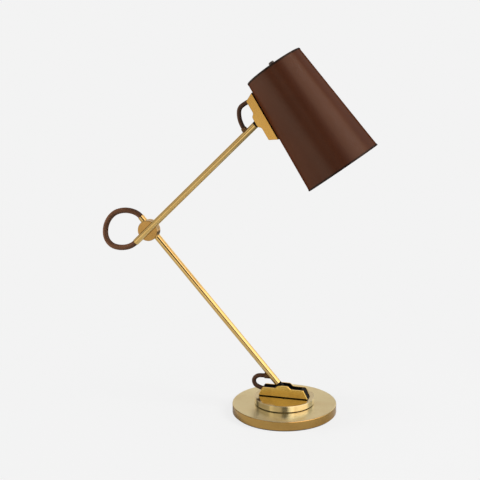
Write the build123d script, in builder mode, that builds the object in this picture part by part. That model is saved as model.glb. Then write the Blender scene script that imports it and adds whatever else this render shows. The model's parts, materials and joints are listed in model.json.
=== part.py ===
from build123d import *
import os
from math import asin, atan2, cos, degrees, pi, radians, sin, tan

# Swing arm desk lamp: turntable base, two brass tube arms and a leather shade on a tilting bracket.
# Millimetres. The origin is the middle of the base's underside, +Z is up, the arms swing in planes
# parallel to XZ, and the shade is towards +X.

# Fits
pin_play = 0.05  # radial play of a pin or stud that turns
seat_play = 0.05  # radial play of a piece that is pressed, screwed or brazed into its seat
swing_play = 0.35  # room beside a piece that swings past another
head_play = 0.1  # end play under a rivet head

# Base plate and felt
plate_diameter = 150.0
plate_thickness = 13.5
plate_edge_radius = 1.2
plate_foot_chamfer = 0.8
felt_thickness = 1.5
felt_inset = 2.5
nut_recess_diameter = 44.0
nut_recess_depth = 8.0
inlet_bore = 8.0
inlet_height = 5.5  # above the felt
grommet_bore = 6.0
grommet_length = 8.0
grommet_flange_diameter = 10.5
grommet_flange_thickness = 1.2

# Swivel between the plate and the turntable
thrust_washer_diameter = 54.0
thrust_washer_thickness = 0.7
nipple_diameter = 10.0
nipple_bore = 6.8
nipple_head_diameter = 18.0
nipple_head_thickness = 2.5
nipple_head_drop = 1.2  # below the turntable's top
nipple_tail = 1.0  # thread that stands out under the nut
spring_thickness = 0.8
spring_rise = 0.5
spring_diameter = 17.6
nut_across_flats = 14.0
nut_thickness = 5.0
lock_washer_diameter = 18.0
lock_washer_thickness = 1.0
stop_circle_diameter = 64.0
stop_pin_diameter = 3.0
stop_pin_rise = 2.5  # above the plate's top
stop_pin_depth = 3.0  # into the plate
stop_groove_play = 0.4
swivel_travel = 160.0  # degrees each way

# Turntable
turntable_diameter = 86.0
turntable_thickness = 8.9
turntable_edge_radius = 0.6

# Stepped bracket, made twice: on the turntable and on the shade
bracket_length = 72.4
shoulder_length = 60.4
shoulder_height = 13.2
shoulder_radius = 2.0
bump_length = 27.0
crown_length = 10.4
crown_height = 17.5
cheek_thickness = 2.6
cheek_lift = 1.1  # shadow gap under the cheeks
cheek_edge_chamfer = 0.35
clevis_proud = 0.3  # the black clevis stands this far outside the cheeks' outline
clevis_wall = 1.2
clevis_floor = 2.0
clevis_slot_end = 26.0  # from the pin to the slot's closed end
pin_height = 8.0
pin_diameter = 5.0
pin_end_depth = 1.4  # into each cheek
dowel_diameter = 2.5
dowel_depth = 1.2  # into each cheek
dowel_spacing = 48.0
dowel_height = 7.0
screw_diameter = 4.0
screw_head_diameter = 6.4
screw_head_height = 3.0
screw_spacing = 44.0
screw_grip = 6.5  # thread below the clevis floor of the base bracket
wire_hole_diameter = 6.0
blind_play = 0.2  # spare depth of a blind hole

# Arm tubes and their eyes
tube_diameter = 9.5
tube_wall = 1.0
lower_arm_length = 303.0  # base pin to elbow axis
lower_arm_lean = 41.1  # degrees from vertical, away from the shade
upper_arm_length = 240.0  # elbow axis to head pin
upper_arm_rise = 43.9  # degrees above horizontal
lower_overhang = 23.0  # tube past the elbow axis
upper_overhang = 25.0
tube_setback = 14.0  # pin to the tube's end
collar_thickness = 2.6
spigot_length = 11.5
eye_radius = 4.6
eye_thickness = 6.0
tongue_width = 8.6
pivot_washer_diameter = 9.0

# Cord bushes on the tubes' sides
bush_diameter = 8.2
bush_bore = 6.4
lower_bush_reach = 11.0  # from the tube's axis
upper_bush_reach = 8.6
lower_bush_distance = 27.2  # from the base pin
upper_bush_distance = 30.8  # from the head pin
lower_bush_turn = 40.0  # degrees off square, towards the tube's far end
upper_bush_turn = 11.0  # towards the head pin
bush_inside = 5.5  # where the lead starts, from the tube's axis
bush_lead = 15.2  # where the lead first bends

# Elbow
elbow_disc_diameter = 30.0
elbow_disc_thickness = 6.5
elbow_edge_radius = 0.8
elbow_tube_stand = 0.5  # tube axis outside the disc's outer face
elbow_washer_diameter = 26.0
elbow_washer_thickness = 0.8
rivet_diameter = 6.0
rivet_head_diameter = 8.6
rivet_head_thickness = 0.8

# Shade
shade_tilt = 35.6  # degrees of its axis from vertical
shade_top_diameter = 83.8
shade_bottom_diameter = 110.0
shade_length = 165.8
leather_thickness = 1.6
shell_thickness = 1.0
trim_height = 2.4
trim_proud = 0.4
trim_lip = 0.6  # inside the shell
trim_web = 1.0  # over the shell's edge
bracket_place = 48.5  # shade's top edge to the bracket's middle, along the side
backing_length = 56.0
backing_width = 11.0
backing_thickness = 1.5
backing_clearance = 0.45  # the flat plate lies this far from the shell's curve
screw_nut_across_flats = 7.0
screw_nut_thickness = 3.2
screw_tail = 1.2

# Cap in the shade's top, lampholder, bulb and switch
cap_depth = 5.0
cap_thickness = 1.2
cap_skirt = 7.0
cap_vent_count = 8
cap_vent_circle = 52.0
cap_vent_length = 12.0
cap_vent_width = 4.0
holder_thread = 10.0
holder_thread_tail = 1.0
holder_nut_across_flats = 14.0
holder_nut_thickness = 3.0
holder_diameter = 36.0
holder_cap_height = 16.0
holder_cap_wall = 2.0
holder_cap_roof = 3.0
holder_cap_radius = 5.0
holder_body_height = 36.0
holder_web = 8.0
contact_diameter = 8.0
contact_thickness = 1.5
lamp_cap_diameter = 26.4
lamp_cap_wall = 0.8
lamp_cap_play = 0.5
lamp_cap_tip_diameter = 9.0
lamp_cap_tip_height = 2.0
glass_thickness = 1.2
glass_neck_length = 4.0
glass_diameter = 60.0
glass_swell = 42.0  # neck to the widest place
knob_diameter = 8.0
knob_rise = 6.8  # above the shade's top edge
knob_height = 7.8
knob_edge_radius = 1.6
shaft_diameter = 3.6
shaft_in_knob = 5.0
shaft_tail = 4.0  # below the lampholder cap's roof

# Cord
loop_diameter = 6.2
elbow_loop_diameter = 8.0
lower_lead = 7.5  # straight out of the lower tube's end
upper_lead = 9.0
corner_share = 0.45  # of the shorter run, taken by a corner's arc


# Heights up the base
plate_top = felt_thickness + plate_thickness
turntable_bottom = plate_top + thrust_washer_thickness
turntable_top = turntable_bottom + turntable_thickness
recess_roof = felt_thickness + nut_recess_depth
spring_height = spring_thickness + spring_rise
nipple_seat = turntable_top - nipple_head_drop - nipple_head_thickness - spring_height
nut_top = recess_roof - lock_washer_thickness

# Bracket widths, from the tube and the eye that swing in it
slot_width = tube_diameter + 2 * swing_play
pivot_washer_thickness = (slot_width - eye_thickness) / 2
clevis_width = slot_width + 2 * clevis_wall
cheek_inner = clevis_width / 2

# Depths across the elbow
rear_disc_back = -elbow_tube_stand
rear_disc_front = rear_disc_back - elbow_disc_thickness
front_disc_back = rear_disc_front - elbow_washer_thickness
front_disc_front = front_disc_back - elbow_disc_thickness
upper_arm_y = front_disc_front - elbow_tube_stand

# Arm directions and pivots
lower_direction = Vector(-sin(radians(lower_arm_lean)), 0, cos(radians(lower_arm_lean)))
upper_direction = Vector(cos(radians(upper_arm_rise)), 0, sin(radians(upper_arm_rise)))
across = Vector(0, 1, 0)
base_pin = Vector(0, 0, turntable_top + pin_height)
elbow = base_pin + lower_direction * lower_arm_length
elbow_front = Vector(elbow.X, upper_arm_y, elbow.Z)
head_pin = elbow_front + upper_direction * upper_arm_length

# Shade directions: down its axis, out of its bracket side, and along and square to that side
shade_axis = Vector(sin(radians(shade_tilt)), 0, -cos(radians(shade_tilt)))
shade_out = Vector(-cos(radians(shade_tilt)), 0, -sin(radians(shade_tilt)))
flare = (shade_bottom_diameter - shade_top_diameter) / 2 / shade_length
flare_angle = atan2(flare, 1)
side_down = shade_axis * cos(flare_angle) + shade_out * sin(flare_angle)
side_out = shade_out * cos(flare_angle) - shade_axis * sin(flare_angle)
bracket_seat = head_pin - side_out * pin_height
shade_top = bracket_seat - shade_out * (shade_top_diameter / 2) - side_down * bracket_place
shade_line = Axis((shade_top.X, shade_top.Y, shade_top.Z), (shade_axis.X, shade_axis.Y, shade_axis.Z))

# Planes: the two bracket seats, the arms seen from the front, and the shade's half section
base_seat = Plane(origin=(0, 0, turntable_top), x_dir=(1, 0, 0), z_dir=(0, 0, 1))
head_seat = Plane(origin=bracket_seat, x_dir=-side_down, z_dir=side_out)
lower_front = Plane(origin=base_pin, x_dir=lower_direction, z_dir=-across)
upper_front = Plane(origin=head_pin, x_dir=-upper_direction, z_dir=-across)
shade_section = Plane(origin=shade_top, x_dir=shade_out, z_dir=-across)
elbow_axis_plane = Plane(origin=elbow, x_dir=(1, 0, 0), z_dir=-across)

os.makedirs("parts", exist_ok=True)


def save(part, name):
    """Label a finished piece and write it under its name."""
    part.label = name
    export_step(part, f"parts/{name}.step")


def side_of(seat):
    """The plane along a bracket's middle: x along it, y out of its seat, normal to the front."""
    return Plane(origin=seat.origin, x_dir=seat.x_dir, z_dir=-seat.y_dir)


def along(arm, distance):
    """The plane across an arm at a distance from its pin, facing away from the pin."""
    return Plane(origin=arm.origin + arm.x_dir * distance, x_dir=arm.z_dir, z_dir=arm.x_dir)


def shade_radius(depth):
    """Outer radius of the leather at a depth below the shade's top edge."""
    return shade_top_diameter / 2 + flare * depth


# Base: felt, plate and the inlet for the lead

with BuildPart() as base_felt_pad:
    with BuildSketch():
        Circle(plate_diameter / 2 - felt_inset)
    extrude(amount=felt_thickness)
save(base_felt_pad.part, "base_felt_pad")

plate_bottom_plane = Plane.XY.offset(felt_thickness)
inlet_plane = Plane(
    origin=(0, nut_recess_diameter / 2 - inlet_bore / 2, felt_thickness + inlet_height),
    x_dir=(1, 0, 0),
    z_dir=(0, 1, 0),
)
stop_place = (0, stop_circle_diameter / 2)

with BuildPart() as base_plate:
    with BuildSketch(plate_bottom_plane):
        Circle(plate_diameter / 2)
    extrude(amount=plate_thickness)
    fillet(base_plate.edges().group_by(Axis.Z)[-1], radius=plate_edge_radius)
    chamfer(base_plate.edges().group_by(Axis.Z)[0], length=plate_foot_chamfer)
    with BuildSketch(plate_bottom_plane):
        Circle(nut_recess_diameter / 2)
    extrude(amount=nut_recess_depth, mode=Mode.SUBTRACT)
    with BuildSketch(plate_bottom_plane):
        Circle(nipple_diameter / 2 + seat_play)
    extrude(amount=plate_thickness, mode=Mode.SUBTRACT)
    with BuildSketch(Plane.XY.offset(plate_top - stop_pin_depth)):
        with Locations(stop_place):
            Circle(stop_pin_diameter / 2 + seat_play)
    extrude(amount=stop_pin_depth, mode=Mode.SUBTRACT)
    with BuildSketch(inlet_plane):
        Circle(inlet_bore / 2)
    extrude(amount=plate_diameter / 2, mode=Mode.SUBTRACT)
save(base_plate.part, "base_plate")

rim_plane = Plane(
    origin=(0, plate_diameter / 2, felt_thickness + inlet_height), x_dir=(1, 0, 0), z_dir=(0, 1, 0)
)
with BuildPart() as cord_grommet:
    with BuildSketch(rim_plane):
        Circle(inlet_bore / 2 - seat_play)
    extrude(amount=-grommet_length)
    with BuildSketch(rim_plane):
        Circle(grommet_flange_diameter / 2)
    extrude(amount=grommet_flange_thickness)
    fillet(cord_grommet.edges().group_by(Axis.Y)[-1], radius=grommet_flange_thickness / 2)
    with BuildSketch(rim_plane.offset(grommet_flange_thickness)):
        Circle(grommet_bore / 2)
    extrude(amount=-grommet_length - grommet_flange_thickness, mode=Mode.SUBTRACT)
save(cord_grommet.part, "cord_grommet")

# Swivel: hollow stud, nut and washers under the plate, thrust washer and stop pin on it

with BuildPart() as swivel_nipple:
    with BuildSketch(Plane.XZ):
        with BuildLine():
            Polyline(
                (nipple_bore / 2, nut_top - nut_thickness - nipple_tail),
                (nipple_diameter / 2, nut_top - nut_thickness - nipple_tail),
                (nipple_diameter / 2, nipple_seat + spring_height),
                (nipple_head_diameter / 2, nipple_seat + spring_height),
                (nipple_head_diameter / 2, turntable_top - nipple_head_drop),
                (nipple_bore / 2, turntable_top - nipple_head_drop),
                close=True,
            )
        make_face()
    revolve(axis=Axis.Z)
save(swivel_nipple.part, "swivel_nipple")

with BuildPart() as swivel_nut:
    with BuildSketch(Plane.XY.offset(nut_top)):
        RegularPolygon(nut_across_flats / 2, 6, major_radius=False)
        Circle(nipple_diameter / 2 + seat_play, mode=Mode.SUBTRACT)
    extrude(amount=-nut_thickness)
save(swivel_nut.part, "swivel_nut")

with BuildPart() as swivel_lock_washer:
    with BuildSketch(Plane.XY.offset(nut_top)):
        Circle(lock_washer_diameter / 2)
        Circle(nipple_diameter / 2 + seat_play, mode=Mode.SUBTRACT)
    extrude(amount=lock_washer_thickness)
save(swivel_lock_washer.part, "swivel_lock_washer")

with BuildPart() as swivel_thrust_washer:
    with BuildSketch(Plane.XY.offset(plate_top)):
        Circle(thrust_washer_diameter / 2)
        Circle(nipple_diameter / 2 + seat_play, mode=Mode.SUBTRACT)
    extrude(amount=thrust_washer_thickness)
save(swivel_thrust_washer.part, "swivel_thrust_washer")

with BuildPart() as swivel_stop_pin:
    with BuildSketch(Plane.XY.offset(plate_top - stop_pin_depth)):
        with Locations(stop_place):
            Circle(stop_pin_diameter / 2)
    extrude(amount=stop_pin_depth + stop_pin_rise)
save(swivel_stop_pin.part, "swivel_stop_pin")

with BuildPart() as swivel_disc_spring:
    with BuildSketch(Plane.XZ):
        spring_inner = nipple_diameter / 2 + stop_groove_play
        with BuildLine():
            Polyline(
                (spring_inner, nipple_seat + spring_rise),
                (spring_diameter / 2, nipple_seat),
                (spring_diameter / 2, nipple_seat + spring_thickness),
                (spring_inner, nipple_seat + spring_height),
                close=True,
            )
        make_face()
    revolve(axis=Axis.Z)
save(swivel_disc_spring.part, "swivel_disc_spring")

# Turntable, with a groove underneath that the stop pin runs in

pin_half_angle = degrees(asin((stop_pin_diameter / 2 + stop_groove_play) / (stop_circle_diameter / 2)))
groove_half = swivel_travel + pin_half_angle
groove_start = radians(90 - groove_half)
groove_plane = Plane(
    origin=(0, 0, turntable_bottom),
    x_dir=(cos(groove_start), sin(groove_start), 0),
    z_dir=(sin(groove_start), -cos(groove_start), 0),
)

with BuildPart() as turntable:
    with BuildSketch(Plane.XY.offset(turntable_bottom)):
        Circle(turntable_diameter / 2)
    extrude(amount=turntable_thickness)
    fillet(turntable.edges(), radius=turntable_edge_radius)
    with BuildSketch(Plane.XY.offset(turntable_bottom)):
        Circle(nipple_diameter / 2 + pin_play)
    extrude(amount=turntable_thickness, mode=Mode.SUBTRACT)
    with BuildSketch(Plane.XY.offset(nipple_seat)):
        Circle(nipple_head_diameter / 2 + stop_groove_play)
    extrude(amount=turntable_thickness, mode=Mode.SUBTRACT)
    with BuildSketch(groove_plane):
        with Locations((stop_circle_diameter / 2, 0)):
            Rectangle(
                stop_pin_diameter + 2 * stop_groove_play,
                stop_pin_rise + stop_groove_play - thrust_washer_thickness,
                align=(Align.CENTER, Align.MIN),
            )
    revolve(axis=Axis.Z, revolution_arc=2 * groove_half, mode=Mode.SUBTRACT)
    with BuildSketch(base_seat):
        with GridLocations(screw_spacing, 0, 2, 1):
            Circle(screw_diameter / 2 + seat_play)
    extrude(amount=-screw_grip + clevis_floor - blind_play, mode=Mode.SUBTRACT)
save(turntable.part, "turntable")


# Stepped bracket: black clevis, brass cheeks, pin, washers, dowels and screws


def draw_bracket(grow, foot):
    """Right half and mirrored left half of the bracket's outline, grown outwards, from a foot height up."""
    crown = (crown_length / 2 + grow, crown_height + grow)
    bump = (bump_length / 2 + grow, shoulder_height + grow)
    waist = ((crown[0] + bump[0]) / 2, (crown[1] + bump[1]) / 2)
    Polyline(
        (0, foot),
        (bracket_length / 2 + grow, foot),
        (shoulder_length / 2 + grow, shoulder_height + grow),
        bump,
    )
    rise = TangentArc(bump, waist, tangent=(-1, 0))
    TangentArc(waist, crown, tangent=rise % 1)
    Line(crown, (0, crown[1]))
    mirror(about=Plane.YZ)


def build_clevis(seat, open_end):
    """Black clevis on a seat: a channel that the arm swings in, open at the end (1 or -1) the lead enters."""
    side = side_of(seat)
    slot_length = bracket_length / 2 + clevis_proud + clevis_slot_end
    corner = shoulder_length / 2 + clevis_proud
    with BuildPart() as clevis:
        with BuildSketch(side) as outline:
            with BuildLine():
                draw_bracket(clevis_proud, 0)
            make_face()
            fillet(
                outline.vertices().filter_by(lambda v: abs(abs(v.X) - corner) < seat_play),
                radius=shoulder_radius,
            )
        extrude(amount=clevis_width / 2, both=True)
        with BuildSketch(seat.offset(clevis_floor)):
            with Locations((open_end * (slot_length / 2 - clevis_slot_end), 0)):
                Rectangle(slot_length, slot_width)
        extrude(amount=crown_height, mode=Mode.SUBTRACT)
        with BuildSketch(side):
            with Locations((0, pin_height)):
                Circle(pin_diameter / 2 + seat_play)
            with Locations((0, dowel_height)):
                with GridLocations(dowel_spacing, 0, 2, 1):
                    Circle(dowel_diameter / 2 + seat_play)
        extrude(amount=clevis_width, both=True, mode=Mode.SUBTRACT)
        with BuildSketch(seat):
            Circle(wire_hole_diameter / 2)
            with GridLocations(screw_spacing, 0, 2, 1):
                Circle(screw_diameter / 2 + seat_play)
        extrude(amount=clevis_floor, mode=Mode.SUBTRACT)
    return clevis.part


def build_cheek(seat, hand):
    """Brass cheek plate with a flared bump over the pin, on the front (1) or the rear (-1)."""
    inner_face = side_of(seat).offset(hand * cheek_inner)
    with BuildPart() as cheek:
        with BuildSketch(inner_face) as outline:
            with BuildLine():
                draw_bracket(0, cheek_lift)
            make_face()
            fillet(
                outline.vertices().filter_by(lambda v: abs(abs(v.X) - shoulder_length / 2) < seat_play),
                radius=shoulder_radius,
            )
        extrude(amount=hand * cheek_thickness)
        outer_face = cheek.faces().sort_by(Axis(seat.origin, seat.y_dir * -hand))[-1]
        chamfer(outer_face.edges(), length=cheek_edge_chamfer)
        with BuildSketch(inner_face):
            with Locations((0, pin_height)):
                Circle(pin_diameter / 2 + seat_play)
        extrude(amount=hand * (pin_end_depth + blind_play), mode=Mode.SUBTRACT)
        with BuildSketch(inner_face):
            with Locations((0, dowel_height)):
                with GridLocations(dowel_spacing, 0, 2, 1):
                    Circle(dowel_diameter / 2 + seat_play)
        extrude(amount=hand * (dowel_depth + blind_play), mode=Mode.SUBTRACT)
    return cheek.part


def build_pivot_pin(seat):
    """Steel pin through the clevis walls, with its ends in the cheeks."""
    with BuildPart() as pin:
        with BuildSketch(side_of(seat)):
            with Locations((0, pin_height)):
                Circle(pin_diameter / 2)
        extrude(amount=clevis_width / 2 + pin_end_depth, both=True)
    return pin.part


def build_pivot_washers(seat):
    """Two fibre friction washers, between the eye and the clevis walls."""
    with BuildPart() as washers:
        for hand in (-1, 1):
            with BuildSketch(side_of(seat).offset(hand * eye_thickness / 2)):
                with Locations((0, pin_height)):
                    Circle(pivot_washer_diameter / 2)
                    Circle(pin_diameter / 2 + seat_play, mode=Mode.SUBTRACT)
            extrude(amount=hand * pivot_washer_thickness)
    return washers.part


def build_dowels(seat):
    """Four short dowels that hold the cheeks to the clevis walls."""
    with BuildPart() as dowels:
        for hand in (-1, 1):
            with BuildSketch(side_of(seat).offset(hand * slot_width / 2)):
                with Locations((0, dowel_height)):
                    with GridLocations(dowel_spacing, 0, 2, 1):
                        Circle(dowel_diameter / 2)
            extrude(amount=hand * (cheek_inner - slot_width / 2 + dowel_depth))
    return dowels.part


def build_screws(seat, grip):
    """Two pan head screws through the clevis floor, reaching a grip below the seat."""
    with BuildPart() as screws:
        with BuildSketch(seat.offset(clevis_floor)):
            with GridLocations(screw_spacing, 0, 2, 1):
                Circle(screw_head_diameter / 2)
        extrude(amount=screw_head_height)
        with BuildSketch(seat.offset(clevis_floor)):
            with GridLocations(screw_spacing, 0, 2, 1):
                Circle(screw_diameter / 2)
        extrude(amount=-grip - clevis_floor)
    return screws.part


wall_thickness = leather_thickness + shell_thickness
backing_face = wall_thickness + backing_clearance
nut_face = backing_face + backing_thickness
head_grip = nut_face + screw_nut_thickness + screw_tail
base_grip = screw_grip - clevis_floor

for end, seat, grip, open_end in (
    ("base", base_seat, base_grip, -1),
    ("head", head_seat, head_grip, 1),
):
    save(build_clevis(seat, open_end), f"{end}_clevis")
    save(build_cheek(seat, 1), f"{end}_cheek_front")
    save(build_cheek(seat, -1), f"{end}_cheek_rear")
    save(build_pivot_pin(seat), f"{end}_pivot_pin")
    save(build_pivot_washers(seat), f"{end}_pivot_washers")
    save(build_dowels(seat), f"{end}_cheek_dowels")
    save(build_screws(seat, grip), f"{end}_clevis_screws")


# Arms: a black eye, a brass tube and a side bush for the lead on each


def build_eye(arm):
    """Black eye: a flat tongue round the pin, a collar as wide as the tube, and a spigot in it."""
    with BuildPart() as eye:
        with BuildSketch(arm):
            Circle(eye_radius)
            Rectangle(
                tube_setback - collar_thickness, tongue_width, align=(Align.MIN, Align.CENTER)
            )
        extrude(amount=eye_thickness / 2, both=True)
        with BuildSketch(along(arm, tube_setback - collar_thickness)):
            Circle(tube_diameter / 2)
        extrude(amount=collar_thickness)
        with BuildSketch(along(arm, tube_setback)):
            Circle(tube_diameter / 2 - tube_wall - seat_play)
        extrude(amount=spigot_length)
        with BuildSketch(arm):
            Circle(pin_diameter / 2 + pin_play)
        extrude(amount=eye_thickness, both=True, mode=Mode.SUBTRACT)
    return eye.part


def bush_plane(arm, distance, turn, hand):
    """The plane at a tube's axis that faces along a side bush, on the arm's left (1) or right (-1)."""
    out = arm.y_dir * hand * cos(radians(turn)) + arm.x_dir * sin(radians(turn))
    return Plane(origin=arm.origin + arm.x_dir * distance, x_dir=arm.z_dir, z_dir=out)


def build_tube(arm, length, bush):
    """Brass tube from an eye's collar to a length from the pin, with a hole for the lead's bush."""
    with BuildPart() as tube:
        with BuildSketch(along(arm, tube_setback)):
            Circle(tube_diameter / 2)
            Circle(tube_diameter / 2 - tube_wall, mode=Mode.SUBTRACT)
        extrude(amount=length - tube_setback)
        with BuildSketch(bush):
            Circle(bush_bore / 2)
        extrude(amount=tube_diameter, mode=Mode.SUBTRACT)
    return tube.part


def build_bush(arm, bush, reach):
    """Small brass bush, saddled on a tube's side."""
    with BuildPart() as collar:
        with BuildSketch(bush):
            Circle(bush_diameter / 2)
        extrude(amount=reach)
        with BuildSketch(along(arm, 0)):
            Circle(tube_diameter / 2 + seat_play)
        extrude(amount=lower_arm_length, mode=Mode.SUBTRACT)
        with BuildSketch(bush):
            Circle(bush_bore / 2)
        extrude(amount=reach, mode=Mode.SUBTRACT)
    return collar.part


lower_bush = bush_plane(lower_front, lower_bush_distance, lower_bush_turn, 1)
upper_bush = bush_plane(upper_front, upper_bush_distance, -upper_bush_turn, -1)
lower_reach = lower_arm_length + lower_overhang
upper_reach = upper_arm_length + upper_overhang
for arm_name, arm, tube_reach, bush, bush_reach in (
    ("lower", lower_front, lower_reach, lower_bush, lower_bush_reach),
    ("upper", upper_front, upper_reach, upper_bush, upper_bush_reach),
):
    save(build_eye(arm), f"{arm_name}_arm_eye")
    save(build_tube(arm, tube_reach, bush), f"{arm_name}_arm_tube")
    save(build_bush(arm, bush, bush_reach), f"{arm_name}_cord_bush")

# Elbow: a disc brazed to each tube, a friction washer and a flush rivet between them


def build_elbow_disc(outer_y, inner_y, arm, length):
    """Brass disc about the elbow axis, grooved across its outer face for the tube of its arm."""
    with BuildPart() as disc:
        with BuildSketch(elbow_axis_plane.offset(-outer_y)):
            Circle(elbow_disc_diameter / 2)
        extrude(amount=outer_y - inner_y)
        outer = disc.edges().sort_by(lambda edge: abs(edge.center().Y - outer_y))[0]
        fillet(outer, radius=elbow_edge_radius)
        with BuildSketch(along(arm, length - elbow_disc_diameter)):
            Circle(tube_diameter / 2 + seat_play)
        extrude(amount=2 * elbow_disc_diameter, mode=Mode.SUBTRACT)
    return disc.part


rear_floor = -(tube_diameter / 2 + seat_play)
front_floor = upper_arm_y + tube_diameter / 2 + seat_play
rear_head_face = rear_floor - rivet_head_thickness - head_play
front_head_face = front_floor + rivet_head_thickness + head_play

with BuildPart() as elbow_rear_disc:
    add(build_elbow_disc(rear_disc_back, rear_disc_front, lower_front, lower_arm_length))
    with BuildSketch(elbow_axis_plane):
        Circle(rivet_diameter / 2 + seat_play)
    extrude(amount=elbow_disc_diameter, mode=Mode.SUBTRACT)
    with BuildSketch(elbow_axis_plane.offset(-rear_head_face)):
        Circle(rivet_head_diameter / 2 + seat_play)
    extrude(amount=rear_head_face, mode=Mode.SUBTRACT)
save(elbow_rear_disc.part, "elbow_rear_disc")

with BuildPart() as elbow_front_disc:
    add(build_elbow_disc(front_disc_front, front_disc_back, upper_front, upper_arm_length))
    with BuildSketch(elbow_axis_plane):
        Circle(rivet_diameter / 2 + pin_play)
    extrude(amount=elbow_disc_diameter, mode=Mode.SUBTRACT)
    with BuildSketch(elbow_axis_plane.offset(-front_head_face)):
        Circle(rivet_head_diameter / 2 + swing_play)
    extrude(amount=elbow_disc_thickness, mode=Mode.SUBTRACT)
save(elbow_front_disc.part, "elbow_front_disc")

with BuildPart() as elbow_rivet:
    with BuildSketch(elbow_axis_plane.offset(-rear_head_face)):
        Circle(rivet_diameter / 2)
    extrude(amount=rear_head_face - front_head_face)
    with BuildSketch(elbow_axis_plane.offset(-rear_head_face)):
        Circle(rivet_head_diameter / 2)
    extrude(amount=-rivet_head_thickness)
    with BuildSketch(elbow_axis_plane.offset(-front_head_face)):
        Circle(rivet_head_diameter / 2)
    extrude(amount=rivet_head_thickness)
save(elbow_rivet.part, "elbow_rivet")

with BuildPart() as elbow_friction_washer:
    with BuildSketch(elbow_axis_plane.offset(-rear_disc_front)):
        Circle(elbow_washer_diameter / 2)
        Circle(rivet_diameter / 2 + seat_play, mode=Mode.SUBTRACT)
    extrude(amount=elbow_washer_thickness)
save(elbow_friction_washer.part, "elbow_friction_washer")

# Shade: leather over a metal shell, bound at both edges


def build_wall(outer_inset, thickness, top, bottom):
    """Conical wall from a top to a bottom depth, drilled for the bracket's screws and the lead."""
    with BuildPart() as wall:
        with BuildSketch(shade_section):
            with BuildLine():
                Polyline(
                    (shade_radius(top) - outer_inset, top),
                    (shade_radius(bottom) - outer_inset, bottom),
                    (shade_radius(bottom) - outer_inset - thickness, bottom),
                    (shade_radius(top) - outer_inset - thickness, top),
                    close=True,
                )
            make_face()
        revolve(axis=shade_line)
        with BuildSketch(head_seat):
            Circle(wire_hole_diameter / 2)
            with GridLocations(screw_spacing, 0, 2, 1):
                Circle(screw_diameter / 2 + seat_play)
        extrude(amount=-nut_face, mode=Mode.SUBTRACT)
    return wall.part


def build_trim(edge, inward):
    """Binding of U section over the shell's edge; inward is 1 from the top edge, -1 from the bottom."""
    web = edge + inward * trim_web
    skirt = edge + inward * trim_height
    inner = -wall_thickness - trim_lip
    with BuildPart() as trim:
        with BuildSketch(shade_section) as section:
            with BuildLine():
                Polyline(
                    (shade_radius(edge) + trim_proud, edge),
                    (shade_radius(skirt) + trim_proud, skirt),
                    (shade_radius(skirt) - leather_thickness, skirt),
                    (shade_radius(web) - leather_thickness, web),
                    (shade_radius(web) - wall_thickness, web),
                    (shade_radius(skirt) - wall_thickness, skirt),
                    (shade_radius(skirt) + inner, skirt),
                    (shade_radius(edge) + inner, edge),
                    close=True,
                )
            make_face()
            fillet(
                section.vertices().filter_by(lambda v: abs(v.Y - edge) < seat_play),
                radius=trim_web / 2,
            )
        revolve(axis=shade_line)
    return trim.part


save(build_wall(0, leather_thickness, trim_height, shade_length - trim_height), "shade_leather")
save(build_wall(leather_thickness, shell_thickness, trim_web, shade_length - trim_web), "shade_shell")
save(build_trim(0, 1), "shade_top_trim")
save(build_trim(shade_length, -1), "shade_bottom_trim")

with BuildPart() as head_backing_plate:
    with BuildSketch(head_seat.offset(-backing_face)):
        RectangleRounded(backing_length, backing_width, backing_width / 4)
        Circle(wire_hole_diameter / 2, mode=Mode.SUBTRACT)
        with GridLocations(screw_spacing, 0, 2, 1):
            Circle(screw_diameter / 2 + seat_play, mode=Mode.SUBTRACT)
    extrude(amount=-backing_thickness)
save(head_backing_plate.part, "head_backing_plate")

with BuildPart() as head_clevis_nuts:
    with BuildSketch(head_seat.offset(-nut_face)):
        with GridLocations(screw_spacing, 0, 2, 1):
            RegularPolygon(screw_nut_across_flats / 2, 6, major_radius=False)
            Circle(screw_diameter / 2 + seat_play, mode=Mode.SUBTRACT)
    extrude(amount=-screw_nut_thickness)
save(head_clevis_nuts.part, "head_clevis_nuts")

# Cap in the shade's top, and the lampholder that hangs from it

holder_top = cap_depth + cap_thickness
holder_split = holder_top + holder_cap_height
holder_mouth = holder_split + holder_body_height
holder_bore = lamp_cap_diameter / 2 + lamp_cap_play
cap_plane = Plane(origin=shade_top + shade_axis * cap_depth, x_dir=across, z_dir=shade_axis)
thread_top = cap_depth - holder_nut_thickness - holder_thread_tail


def cap_radius(depth):
    """Outer radius of the cap's skirt, just inside the shell."""
    return shade_radius(depth) - wall_thickness - seat_play


with BuildPart() as shade_top_cap:
    with BuildSketch(shade_section):
        with BuildLine():
            Polyline(
                (0, cap_depth),
                (cap_radius(cap_depth), cap_depth),
                (cap_radius(cap_depth + cap_skirt), cap_depth + cap_skirt),
                (cap_radius(cap_depth + cap_skirt) - cap_thickness, cap_depth + cap_skirt),
                (cap_radius(holder_top) - cap_thickness, holder_top),
                (0, holder_top),
                close=True,
            )
        make_face()
    revolve(axis=shade_line)
    with BuildSketch(cap_plane):
        Circle(holder_thread / 2 + seat_play)
        with PolarLocations(cap_vent_circle / 2, cap_vent_count):
            SlotOverall(cap_vent_length, cap_vent_width)
    extrude(amount=cap_thickness, mode=Mode.SUBTRACT)
save(shade_top_cap.part, "shade_top_cap")

with BuildPart() as lampholder_nipple:
    with BuildSketch(cap_plane.offset(thread_top - cap_depth)):
        Circle(holder_thread / 2)
        Circle(shaft_diameter / 2 + pin_play, mode=Mode.SUBTRACT)
    extrude(amount=holder_top + holder_cap_roof - thread_top)
save(lampholder_nipple.part, "lampholder_nipple")

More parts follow.
